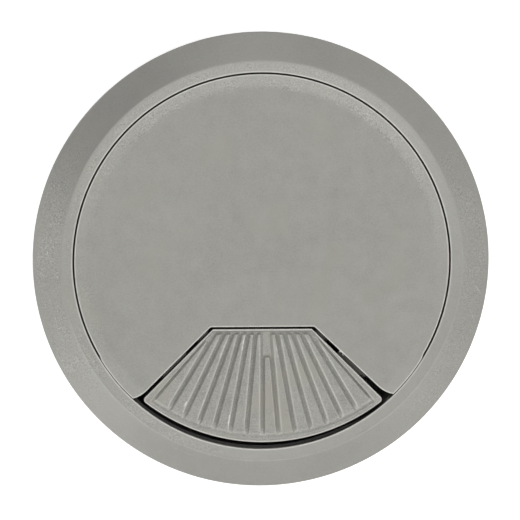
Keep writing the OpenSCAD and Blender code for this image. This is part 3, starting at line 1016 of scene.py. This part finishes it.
# points along the fan, so that the grooves run with the mesh
fan = []
shares = np.concatenate([
    np.linspace(0, 0.10, 22, endpoint=False), np.linspace(0.10, 0.93, 64, endpoint=False),
    np.linspace(0.93, 1.0, 16),
])
for a in np.radians(np.linspace(-43.5, 43.5, 440)):
    dx, dy = sin(a), -cos(a)
    first = (-13.45 - GROOVE_Y) / dy
    mx, my = GROOVE_X - ARC_X, GROOVE_Y - ARC_Y
    b = mx * dx + my * dy
    last = -b + sqrt(b * b - mx * mx - my * my + (ARC_R - 0.2) ** 2)
    for share in shares:
        s = first + (last - first) * share
        fan.append((GROOVE_X + s * dx, GROOVE_Y + s * dy))
# the stub rib's upper end
fan += [(x, y) for y in np.arange(-19.5, -18.3, 0.08) for x in np.arange(0.0, 2.6, 0.1)]
grid = [(x, y) for x in np.arange(-24, 24.1, 3) for y in np.arange(-36, -13, 3)]
flap_parts = [
    plate(flap_outline, flap_top, flap_bottom, 0.20, 0.15, np.array(fan), np.array(grid, float))
]

# web from the knuckle up to the plate, as (y, z)
WEB = [
    (HINGE_Y - 1.9, HINGE_Z), (HINGE_Y - 1.0, HINGE_Z), (HINGE_Y - 0.6, HINGE_Z + 1.05),
    (HINGE_Y + 0.9, HINGE_Z + 1.05), (HINGE_Y + 0.9, UNDER_Z + 0.2), (HINGE_Y - 1.9, UNDER_Z + 0.2),
]
# tab beyond the flap's side, the strip that roots it, and a lip on the right one, as (x, y)
TAB = [(14.2, -19.2), (18.7, -23.7), (20.7, -22.3), (16.0, -17.6)]
TAB_ROOT = [(14.2, -19.2), (18.7, -23.7), (19.4, -23.2), (14.8, -18.6)]
TAB_LIP = [(16.0, -19.34), (20.2, -23.54), (20.95, -22.6), (16.8, -18.4)]
for side, knuckle_x, tab_gap in ((1, 7.2, 0.10), (-1, -10.2, 0.02)):
    heel = block((1.35, 3.6), (-0.7, 0.7), (0, 3.0), 0.18)
    # mirrored to the left, the outlines are reversed to stay anticlockwise
    tab, root = ([(side * x, y) for x, y in line][::side] for line in (TAB, TAB_ROOT))
    flap_parts += [
        bush(knuckle_x, PIN_R + 0.05, 1.9, 3.0, (0.08, 0.18), 4, 56),
        along_x(prism(WEB, 0, 3.0, rounding=0.12), knuckle_x),
        on_hinge(spun(heel, radians(-69)), knuckle_x),
        prism(tab, UNDER_Z - 1.1, UNDER_Z - tab_gap, rounding=0.1),
    ]
    if side > 0:
        flap_parts.append(prism(TAB_LIP, UNDER_Z - 1.0, UNDER_Z - 0.02, rounding=0.06))
    flap_parts.append(prism(root, UNDER_Z - 0.6, UNDER_Z + 0.3, rounding=0.0))
# ribs underneath: x, lower end, length
for x, end, length in ((-8.7, -31, 15), (0, -33.6, 14), (8.7, -31, 15)):
    rib_z = (UNDER_Z - 1, UNDER_Z + 0.1)
    flap_parts.append(block((x - 0.5, x + 0.5), (end, end + length), rib_z, 0.14))
for x in (1.15, 2.65):
    flap_parts.append(block((x, x + 0.45), (-23.6, -18.4), (UNDER_Z - 0.8, UNDER_Z + 0.1), 0.1))
flap_shape = moved(joined(flap_parts), lambda x, y, z: (x + FLAP_X, y, z))
flap = moulding("flap_moulding", [flap_shape], flap_grey)

x, y, z = positions(flap)
x = x - FLAP_X
# painted highlight along the plate's upper edges, painted shade down its side walls
rim_highlight, crevice = plate_masks(x, y, z, flap_outline, TOP_Z)
# painted shade also goes on what stands out below the plate's sides
tabs = ~inside(np.stack([x, y], 1), flap_outline, -1.0) & (z < 1.3) & (y < -17)
tab_shade = np.where((x > 0) & (z > UNDER_Z - 0.09), 0.30, 1.0)
# painted highlight along each groove's edge away from the middle
groove_highlight = 0.38 * groove_highlight_mask(x, y) * (z > UNDER_Z + 0.3)
tag(flap, np.maximum(rim_highlight, groove_highlight), np.maximum(crevice, tabs * tab_shade))

# ---------------------------------------------------------------- hinge pin

# (radius, x, rounding), with the head at the +X end
pin_profile = rounded(
    [
        (0, -16.3, 0), (PIN_R - 0.25, -16.3, 0.08), (PIN_R, -16.0, 0.1), (PIN_R, 15.65, 0.04),
        (1.3, 15.65, 0.08), (1.3, 16.35, 0.28), (0, 16.35, 0),
    ],
    5,
)
PIN_STEPS = 48
pin_verts = []
for i in range(PIN_STEPS):
    a = 2 * pi * i / PIN_STEPS
    pin_verts += [(x, HINGE_Y + r * cos(a), HINGE_Z + r * sin(a)) for r, x in pin_profile]
pin_faces = skin(PIN_STEPS, len(pin_profile), wrap_rows=True, wrap_columns=False)
pin = new_object("hinge_pin_steel", (pin_verts, pin_faces), pin_steel)

# ------------------------------------------------------------ return spring

COIL_STEPS, WIRE_SIDES = 40, 14


def spring_leg(x, reach):
    """(centre, outward direction) stations from the leg's end to the coil."""
    shares = [1 - i / 8.6 for i in range(9)]
    return [((x, reach * f, COIL_R + 0.08 * f), (0, 0, 1)) for f in shares]


coil = []
for i in range(TURNS * COIL_STEPS + 1):
    t = 2 * pi * i / COIL_STEPS
    x = -COIL_HALF + 2 * COIL_HALF * i / (TURNS * COIL_STEPS)
    coil.append(((x, -COIL_R * sin(t), COIL_R * cos(t)), (0, -sin(t), cos(t))))
rear_leg, front_leg = spring_leg(-COIL_HALF, REAR_REACH), spring_leg(COIL_HALF, -FRONT_REACH)
stations = rear_leg + coil + front_leg[::-1]
centres, outwards = (np.array(column, float) for column in zip(*stations))
last = len(stations) - 1
spring_verts = []
for i, centre in enumerate(centres):
    tangent = centres[min(i + 1, last)] - centres[max(i - 1, 0)]
    tangent /= np.linalg.norm(tangent)
    u = outwards[i] - (outwards[i] @ tangent) * tangent
    u /= np.linalg.norm(u)
    v = np.cross(tangent, u)
    taper = 0.6 if i in (0, last) else 1.0
    for j in range(WIRE_SIDES):
        a = 2 * pi * j / WIRE_SIDES
        p = centre + WIRE_R * taper * (cos(a) * u + sin(a) * v)
        spring_verts.append((p[0], p[1] + HINGE_Y, p[2] + HINGE_Z))
spring_faces = skin(len(stations), WIRE_SIDES)
spring_faces.append(tuple(range(WIRE_SIDES - 1, -1, -1)))
spring_faces.append(tuple(last * WIRE_SIDES + j for j in range(WIRE_SIDES)))
spring = new_object(
    "return_spring_wire", (spring_verts, spring_faces), spring_steel, weighted=False
)

# ------------------------------------------------------------------ linking

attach(collar, "collar")
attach(lid, "lid")
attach(flap, "flap")
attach(pin, "lid")
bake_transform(spring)
for piece, node, slot, material in (
    (collar, "collar", "collar_plastic", collar_grey),
    (lid, "lid", "lid_plastic", lid_grey),
    (flap, "flap", "flap_plastic", flap_grey),
    (pin, "hinge_pin", "pin_steel", pin_steel),
    (spring, "return_spring", "spring_steel", spring_steel),
):
    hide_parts(node)
    node_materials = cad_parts[node].data.materials
    node_materials.clear()
    node_materials.append(material)

# -------------------------------------------------------------------- stage
# Metres from here on.

bpy.ops.mesh.primitive_plane_add(size=6.0, location=(0, 0, SLEEVE_Z * MM - 0.0002))
floor = bpy.context.object
floor.name = "floor"
floor.data.materials.append(pale_floor())
floor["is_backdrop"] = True

# camera: lean from straight above towards -X and +Y, distance, width seen at the target
LEAN_X, LEAN_Y = radians(2.9), radians(6.3)
TARGET = Vector((-0.00015, -0.000245, 0.0))
DISTANCE, VIEW_WIDTH = 2.0, 0.10253
camera_data = bpy.data.cameras.new("camera")
camera_data.sensor_width = 36.0
camera_data.lens = 36.0 / (VIEW_WIDTH / DISTANCE)
camera_data.clip_start, camera_data.clip_end = 0.01, 10
camera = bpy.data.objects.new("camera", camera_data)
scene.collection.objects.link(camera)
back = Vector((-sin(LEAN_X), sin(LEAN_Y), sqrt(1 - sin(LEAN_X) ** 2 - sin(LEAN_Y) ** 2)))
camera.location = TARGET + back * DISTANCE
right = Vector((0, 1, 0)).cross(back).normalized()
camera.rotation_euler = Matrix((right, back.cross(right), back)).transposed().to_euler()
scene.camera = camera

LIGHT_DISTANCE = 0.9
SOFTBOXES = (  # azimuth from +X towards +Y and elevation in degrees, watts, side
    (0, 36, 1.48, 0.40), (45, 36, 0.843, 0.40), (45, 60, 1.08, 0.35),
    (90, 36, 1.04, 0.40), (90, 60, 0.679, 0.35), (135, 60, 1.1, 0.35),
    (180, 14, 1.02, 0.35), (225, 36, 2.84, 0.40), (225, 60, 0.533, 0.35),
    (270, 36, 1.14, 0.40), (270, 60, 0.642, 0.35), (315, 36, 2.26, 0.40),
)
for i, (azimuth, elevation, watts, size) in enumerate(SOFTBOXES):
    name = "softbox_%02d" % i
    light = bpy.data.lights.new(name, "AREA")
    light.shape = "RECTANGLE"
    light.size = light.size_y = size
    light.energy = watts
    softbox = bpy.data.objects.new(name, light)
    scene.collection.objects.link(softbox)
    a, e = radians(azimuth), radians(elevation)
    place = Vector((cos(a) * cos(e), sin(a) * cos(e), sin(e))) * LIGHT_DISTANCE
    softbox.location = place
    softbox.rotation_euler = (-place).to_track_quat("-Z", "Y").to_euler()

# world: nearly white to the camera, faint as a light
WORLD_LIGHT, WORLD_SEEN = 0.02, 0.95
world = bpy.data.worlds.new("studio")
world.use_nodes = True
tree = world.node_tree
background = tree.nodes["Background"]
background.inputs[0].default_value = (1, 1, 1, 1)
rays = tree.nodes.new("ShaderNodeLightPath")
strength = tree.nodes.new("ShaderNodeMath")
strength.operation = "MULTIPLY_ADD"
tree.links.new(rays.outputs["Is Camera Ray"], strength.inputs[0])
strength.inputs[1].default_value = WORLD_SEEN
strength.inputs[2].default_value = WORLD_LIGHT
tree.links.new(strength.outputs[0], background.inputs[1])
scene.world = world
scene.view_settings.view_transform = "Standard"
scene.view_settings.look = "None"
scene.view_settings.exposure = 0.0
scene.view_settings.gamma = 1.0

low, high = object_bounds()
size = {"cad": [list(cad_low), list(cad_high)], "visual": [list(low), list(high)]}
